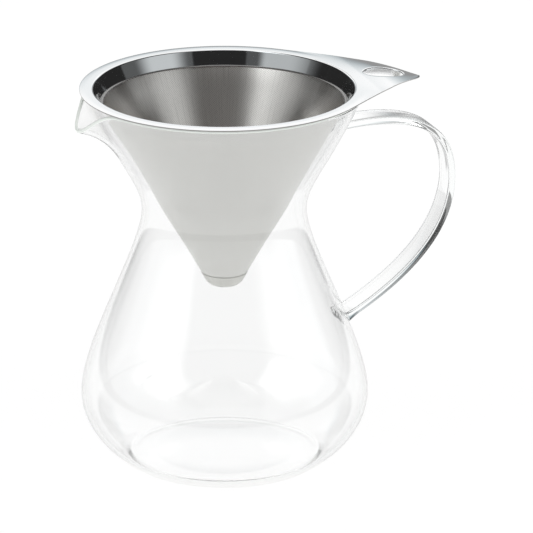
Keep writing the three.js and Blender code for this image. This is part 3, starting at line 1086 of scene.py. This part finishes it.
    def build_rim(self) -> Piece:
        """Rim, collar, tab and drawn hole as one sheet, given its thickness by a modifier.

        Patches share their edge points: collar and bend turned about the axis, the flat from the
        bend to the outline, and rings round the hole that grow from its oval to the tab's edge.

        Returns:
            The new object.
        """
        outline = self.outline()
        angle = np.arctan2(outline[:, 1], outline[:, 0])
        collar = around(self.collar_rows(), angle)
        inner = collar[-1, :, :2]
        share = np.linspace(0, 1, self.flat_rows)[:, None, None]
        plan = inner * (1 - share) + outline * share
        corner = int(np.argmin(np.abs(np.degrees(angle[: self.tab_columns]) - self.tab_corner)))
        other = len(outline) - corner
        edge = np.arange(-corner, corner + 1)
        sides = plan[1:-1, corner][::-1], plan[1:-1, other]
        border = np.vstack([outline[edge], sides[0], inner[edge[::-1]], sides[1]])
        tab, hole = self.tab_rings(border)
        flat = self.lifted(plan[:, corner : other + 1])
        points, quads, start = [], [], 0
        for patch, closed in ((collar, True), (flat, False), (tab, True), (hole, True)):
            points.append(patch.reshape(-1, 3))
            quads.append(start + grid_quads(*patch.shape[:2], False, closed))
            start += len(points[-1])
        hole_quads = len(quads[-1])
        points, quads = np.vstack(points), np.vstack(quads)
        piece = new_piece("rim_sheet", points, face_up(points, quads), closed=False)
        recalculate(piece)
        self.hole_faces = np.arange(len(piece.data.polygons)) >= len(quads) - hole_quads
        add_thickness(piece, self.sheet, self.sheet_edge)
        return piece

    def tip_heel(self, layer: float, floor: float) -> Array:
        """Quadratic curve from the cap's flat bottom to the cone's line.

        Args:
            layer: the cap's face.
            floor: height of that face's flat part.

        Returns:
            Radius and height of the points.
        """
        t = np.linspace(0, 1, self.tip_heel_steps)[:, None]
        flat_end = np.array([self.tip_flat - layer, floor])
        corner = np.array([self.radius(self.cone_foot - self.tip_drop, layer), floor])
        cone_end = self.on_cone((self.cone_foot, layer))
        return flat_end * (1 - t) ** 2 + corner * 2 * t * (1 - t) + cone_end * t**2

    def build_tip_cap(self) -> Piece:
        """Cup that closes the tip: flat bottom, rounded heel and a lap up the cone.

        Returns:
            The new object.
        """
        lap_top = self.cone_foot + self.tip_lap
        bottom = self.cone_foot - self.tip_drop
        floor = bottom + self.cap_sheet
        inside, outside, thin = self.lap, self.lap + self.cap_sheet, self.lap + self.cap_edge
        flat = self.tip_flat * np.linspace(0, 1, self.tip_flat_steps)[:-1]
        below, inner = (np.stack([flat, np.full_like(flat, z)], axis=1) for z in (bottom, floor))
        edge = self.on_cone((lap_top - self.cap_sheet, thin), (lap_top, thin), (lap_top, inside))
        heels = self.tip_heel(outside, bottom), self.tip_heel(inside, floor)[::-1]
        profile = np.vstack([below, heels[0], edge, heels[1], inner[::-1]])
        return turned("tip_cup", profile, self.tip_columns, False)

    def build_tip_insert(self) -> Piece:
        """Dish with a short conical wall that closes the mesh from inside.

        Returns:
            The new object.
        """
        outside = -self.cone_sheet - self.mesh_sheet - 2 * self.lap
        inside = outside - self.insert_sheet
        foot = self.cone_foot + self.lap
        floor, top = foot + self.insert_sheet, foot + self.tip_lap
        wall = self.on_cone((foot, outside), (top, outside), (top, inside), (floor, inside))
        return turned("tip_dish", np.vstack([[0, foot], wall, [0, floor]]), self.tip_columns, False)

    def build(self) -> None:
        """Makes the six steel pieces and dresses them, the rim plate in four finishes."""
        mesh_out = -self.cone_sheet - self.lap
        mesh_in = mesh_out - self.mesh_sheet
        hem_in = mesh_in - self.lap - self.hem_sheet
        hem_foot, hem_top = self.cone_top - self.hem_height, self.cone_top + self.lap
        hem_section = self.sleeve(hem_foot, hem_top, hem_in, 0.0)
        cone = self.build_sleeve("cone_sheet", -self.cone_sheet, 0.0)
        mesh = self.build_sleeve("mesh_sheet", mesh_in, mesh_out)
        hem = turned("hem_band", hem_section, self.columns, True)
        plate, polished = self.build_rim(), PolishedSteel().material()
        dressed = [
            (plate, polished, Slot.POLISHED, "rim_plate"),
            (hem, HEM_SHADED_STEEL.material(), Slot.POLISHED, "hem_ring"),
            (cone, SatinSteel().material(), Slot.SATIN, "outer_cone"),
            (mesh, WovenSteel().material(), Slot.WOVEN, "inner_mesh"),
            (self.build_tip_cap(), TIP_STEEL.material(), Slot.SATIN, "tip_cap"),
            (self.build_tip_insert(), polished, Slot.POLISHED, "tip_insert"),
        ]
        for piece, finish, slot, node in dressed:
            finish_piece(piece, finish, Body.FILTER, node)
        finishes = [steel.material() for steel in (UNDERSIDE_STEEL, CUT_STEEL, DRAWN_STEEL)]
        add_finishes(plate, finishes, len(finishes) * self.hole_faces)


# The studio


def aim(thing: Piece, target: tuple, way: Array, distance: float) -> None:
    """Puts a lamp or camera into the scene, so that it looks at a point.

    Args:
        thing: the lamp or camera.
        target: the point.
        way: unit vector from the point to the place.
        distance: from the point to the place.
    """
    thing.location = Vector(target) + Vector(way) * distance
    thing.rotation_mode = "QUATERNION"
    thing.rotation_quaternion = (-Vector(way)).to_track_quat("-Z", "Y")
    bpy.context.scene.collection.objects.link(thing)


@dataclass(frozen=True)
class Softbox:
    """A glowing panel painted on the studio's dome, by bearings from the camera's side.

    The heights say where the glow starts, is full, starts to fade and ends. The skirt is dimmer
    and reaches down to the horizon.
    """

    rise: tuple
    fall: tuple
    heights: tuple
    glow: float
    skirt: tuple = (0, 0)
    skirt_glow: float = 0.0
    skirt_edge: float = 1

    def core(self, bearing: Array, height: Array, heights: tuple) -> Array:
        """Share of the full glow at a bearing and height, with soft sides, foot and top."""
        return window(bearing, self.rise, self.fall) * window(height, heights[:2], heights[2:])

    def light(self, bearing: Array, height: Array) -> Array:
        """Glow of the panel and of the dimmer skirt round it.

        Args:
            bearing: degrees from the camera's side, right positive.
            height: degrees above the horizon.

        Returns:
            The glow per point.
        """
        rise, fall = ((end - self.skirt_edge, end + self.skirt_edge) for end in self.skirt)
        skirt = window(bearing, rise, fall) * (1 - smooth_step(height, *self.heights[2:]))
        return self.glow * self.core(bearing, height, self.heights) + self.skirt_glow * skirt


LOW_HEIGHTS = (-6, 1, 16, 21)


@dataclass
class Studio:
    """White floor and surroundings, a dark dome with softboxes towards the camera, and lamps.

    Mirrors see the white backdrop over-bright and a dusky band along the horizon.
    """

    camera_bearing: float = CAMERA_BEARING
    # Backdrop, in the dome and in the world
    bright: float = 1.1
    dusk: float = 0.03
    mirrored_dusk: float = 0.32
    glass_dusk: float = 0.6
    dusk_tint: tuple = (1.25, 1.07, 1.0)
    horizon: tuple = (10, 19.5)
    side_horizon: tuple = (13, 23)
    side_reach: tuple = (0.2, 0.55)
    ambient: float = 0.85
    # Dome and softboxes
    dome_radius: float = 4.0
    dome_bearings: tuple = (-155, 155, 621)
    dome_heights: tuple = (0.2, 84, 130)
    side_fade: tuple = (136, 154)
    glass_fade: tuple = (116, 138)
    top_fade: tuple = (58, 82)
    dark: float = 0.02
    glass_dark: float = 0.85
    glass_box: float = 2.2
    glass_heights: tuple = (0, 24, 50, 64)
    box_tint: tuple = (0.955, 1.0, 1.015)
    left: Softbox = Softbox((-104, -66), (-44, -34), (0, 20, 66, 84), 0.41, (-88, -23), 0.07)
    right: Softbox = Softbox((36, 56), (74, 94), (18, 30, 46, 56), 0.5, (33, 108), 0.085)
    fills: tuple = (
        Softbox((-88, -62), (-42, -32), (42, 52, 72, 84), 1.2),
        Softbox((60, 78), (98, 112), LOW_HEIGHTS, 1.5),
        Softbox((-114, -100), (-80, -62), LOW_HEIGHTS, 0.8),
        Softbox((-80, -62), (60, 78), LOW_HEIGHTS, 0.4),
    )
    # Floor: a near white table for glass, darker in one far corner, and levels for mirrors
    floor_radius: float = 6.0
    floor_rings: int = 12
    floor_columns: int = 64
    floor_drop: float = 0.1 * MM
    floor_glow: float = 0.72
    floor_white: tuple = (0.32, 0.32, 0.32, 1.0)
    table_edge: tuple = (0.56, 0.64)
    table_shift: float = 0.12
    corner_aside: tuple = (0.07, 0.1)
    corner_end: tuple = (0.11, 0.115)
    corner_behind: tuple = (0.435, 0.465)
    corner_level: float = 0.05
    table_mirrored: tuple = ((-0.15, 0.25), (0.95, 1.35))
    table_in_glass: float = 0.96
    # Lamps
    lamp_bearings: tuple = (("lamp_left", -58), ("lamp_right", 52))
    lamp_height: float = 38
    lamp_distance: float = 1.7
    lamp_size: tuple = (0.9, 1.1)
    lamp_power: float = 2.4

    def towards(self, bearing: Array, height: Array) -> Array:
        """Unit vectors by bearing from the camera's side, right positive, and height."""
        return direction(np.asarray(bearing) + self.camera_bearing, height)

    def backdrop(self, bearing: Array, height: Array, dusk: float) -> Array:
        """Colour behind the pot: dusk plus the rest times a power of the rise above the horizon.

        The dusky band stands higher and darker towards both sides.

        Args:
            bearing: degrees from the camera's side, right positive.
            height: degrees above the horizon.
            dusk: level of the band straight behind the pot.

        Returns:
            Red, green and blue per point.
        """
        aside = np.abs(np.sin(np.radians(bearing)) * np.cos(np.radians(height)))
        side = smooth_step(aside, *self.side_reach)
        low, high = (a + (b - a) * side for a, b in zip(self.horizon, self.side_horizon))
        share = smooth_step(height, low, high)[..., None]
        dusk = (dusk + (self.dusk - dusk) * side)[..., None]
        return dusk + (self.bright - dusk) * share ** np.array(self.dusk_tint)

    def dome_light(
        self, bearing: Array, height: Array, front: Array, dusk: float, sides: tuple
    ) -> Array:
        """Colours of the dome: its front, fading into the backdrop at its sides and top.

        Args:
            bearing: degrees from the camera's side, right positive.
            height: degrees above the horizon.
            front: colour of the front per point.
            dusk: level of the dusky band straight behind the pot.
            sides: bearings between which the front fades.

        Returns:
            Red, green, blue and 1 per point.
        """
        fade = np.maximum(smooth_step(np.abs(bearing), *sides), smooth_step(height, *self.top_fade))
        fade = fade[..., None]
        colour = front * (1 - fade) + self.backdrop(bearing, height, dusk) * fade
        return np.concatenate([colour, np.ones_like(fade)], axis=-1)

    def build_dome(self) -> None:
        """Part of a sphere round the camera's side, with one colour for mirrors and one for glass."""
        b, e = np.meshgrid(np.linspace(*self.dome_bearings), np.linspace(*self.dome_heights))
        points = self.dome_radius * self.towards(b, e)
        dome = new_piece("studio_dome", points, grid_quads(*b.shape), closed=False)
        boxes = (self.left, self.right)
        glow = sum(box.light(b, e) for box in (*boxes, *self.fills))[..., None]
        core = sum(box.core(b, e, self.glass_heights) for box in boxes)[..., None]
        lit = self.dark + glow * np.array(self.box_tint)
        fronts = {
            "mirrored": (lit, self.mirrored_dusk, self.side_fade),
            "through": (self.glass_dark + self.glass_box * core, self.glass_dusk, self.glass_fade),
        }
        sheet = NodeSheet("studio_dome")
        tones = []
        for name, settings in fronts.items():
            colour = self.dome_light(b, e, *settings).astype(np.float32)
            layer = dome.data.color_attributes.new(name, "FLOAT_COLOR", "POINT")
            layer.data.foreach_set("color", colour.ravel())
            tones.append(sheet.add("ShaderNodeVertexColor", layer_name=name).outputs[0])
        tone = sheet.blend(sheet.light_paths().through, *tones)
        sheet.finish(sheet.add("ShaderNodeEmission", {"Color": tone}).outputs[0])
        sheet.material.cycles.emission_sampling = "NONE"
        dome.data.materials.append(sheet.material)
        dome.visible_camera = False
        dome.visible_diffuse = False
        dome.visible_shadow = False

    def build_floor(self) -> None:
        """Round floor, white for camera and glass with the pot's shadow, dusky far off in mirrors."""
        r = self.floor_radius * np.linspace(0, 1, self.floor_rings) ** 2
        angle = np.linspace(0, 2 * np.pi, self.floor_columns, endpoint=False)
        points = around(np.stack([r, np.full_like(r, -self.floor_drop)], axis=1), angle)
        quads = grid_quads(self.floor_rings, self.floor_columns, False, True)
        floor = new_piece("floor", points, quads, closed=False)
        recalculate(floor)
        sheet = NodeSheet("floor")
        rays = sheet.light_paths()
        where = sheet.object_coordinates()
        middle = tuple(self.table_shift * self.towards(180, 0))
        reach = sheet.measure("DISTANCE", where, middle)
        aside, behind = (
            sheet.measure("DOT_PRODUCT", where, tuple(self.towards(bearing, 0))) for bearing in (90, 180)
        )
        corner = sheet.math(
            "MULTIPLY", sheet.ramp(aside, self.corner_aside), sheet.ramp(behind, self.corner_behind)
        )
        corner = sheet.math("MULTIPLY", corner, sheet.ramp(aside, self.corner_end, (1.0, 0.0)))
        table = sheet.ramp(reach, self.table_edge, (self.floor_glow, 0.0))
        table = sheet.math("MULTIPLY", table, sheet.spread(corner, 1.0, self.corner_level))
        plain = sheet.math("MULTIPLY", sheet.math("ADD", rays.camera, rays.scattered), self.floor_glow)
        glow = sheet.math("ADD", plain, sheet.math("MULTIPLY", rays.through, table))
        emission = sheet.add("ShaderNodeEmission", {"Strength": glow}).outputs[0]
        matt = sheet.add("ShaderNodeBsdfDiffuse", {"Color": self.floor_white}).outputs[0]
        both = sheet.add("ShaderNodeAddShader", {0: emission, 1: matt}).outputs[0]
        near = sheet.spread(rays.sharp, sheet.ramp(behind, *self.table_mirrored), self.table_in_glass)
        level = sheet.ramp(reach, self.table_edge, (near, self.mirrored_dusk))
        mirrored = sheet.add("ShaderNodeEmission", {"Strength": level}).outputs[0]
        inputs = {0: rays.mirrored, 1: both, 2: mirrored}
        sheet.finish(sheet.add("ShaderNodeMixShader", inputs).outputs[0])
        sheet.material.cycles.emission_sampling = "NONE"
        floor.data.materials.append(sheet.material)

    def build_world(self) -> None:
        """White for the camera, backdrop above a dusky horizon for mirrors and glass, plain otherwise."""
        world = bpy.data.worlds.new("studio")
        world.use_nodes = True
        bpy.context.scene.world = world
        sheet = NodeSheet("studio", world)
        rays = sheet.light_paths()
        level = sheet.spread(rays.camera, self.ambient, 1.0)
        where = sheet.add("ShaderNodeTexCoord").outputs["Generated"]
        way = sheet.add("ShaderNodeSeparateXYZ", {0: where})
        aside = sheet.measure("DOT_PRODUCT", where, tuple(self.towards(90, 0)))
        side = sheet.ramp(sheet.math("ABSOLUTE", aside), self.side_reach)
        ends = tuple(
            sheet.spread(side, *(math.sin(math.radians(angle)) for angle in angles))
            for angles in zip(self.horizon, self.side_horizon)
        )
        share = sheet.ramp(way.outputs[2], ends)
        back = sheet.spread(rays.through, self.mirrored_dusk, self.glass_dusk)
        dusk = sheet.spread(side, back, self.dusk)
        tints = [sheet.spread(sheet.math("POWER", share, p), dusk, self.bright) for p in self.dusk_tint]
        mirrored = sheet.add("ShaderNodeCombineXYZ", dict(enumerate(tints))).outputs[0]
        tone = sheet.blend(sheet.math("MAXIMUM", rays.mirrored, rays.through), level, mirrored)
        sheet.feed(sheet.tree.nodes["Background"], {"Color": tone})

    def build_lamps(self) -> None:
        """Two large area lamps, one on each side of the camera, that give the floor its shadow."""
        for name, bearing in self.lamp_bearings:
            data = bpy.data.lights.new(name, "AREA")
            data.shape = "RECTANGLE"
            data.size, data.size_y = self.lamp_size
            data.energy = self.lamp_power
            lamp = bpy.data.objects.new(name, data)
            aim(lamp, (0, 0, 0), self.towards(bearing, self.lamp_height), self.lamp_distance)
            lamp.visible_glossy = False
            lamp.visible_transmission = False

    def build(self) -> None:
        """Sets up everything around the pot."""
        self.build_world()
        self.build_floor()
        self.build_dome()
        self.build_lamps()
        bpy.context.scene.view_settings.view_transform = "Standard"
        log.info("studio set")


@dataclass
class PhotoCamera:
    """Long lens that looks down at the pot from the front left."""

    target: tuple = (0.018, -0.0062, 0.0902)
    bearing: float = CAMERA_BEARING
    height: float = 18.944
    distance: float = 2.5
    lens: float = 373.5
    sensor: float = 36

    def build(self) -> None:
        """Places the camera on its line of sight and makes it the scene's own."""
        data = bpy.data.cameras.new("photo_camera")
        data.sensor_width = self.sensor
        data.lens = self.lens
        camera = bpy.data.objects.new("photo_camera", data)
        aim(camera, self.target, direction(self.bearing, self.height), self.distance)
        bpy.context.scene.camera = camera


def main() -> None:
    """Builds the pot, its studio and its camera."""
    logging.basicConfig(level=logging.INFO)
    for part in (Jug(), ConeFilter(), Studio(), PhotoCamera()):
        part.build()


if __name__ == "__main__":
    main()
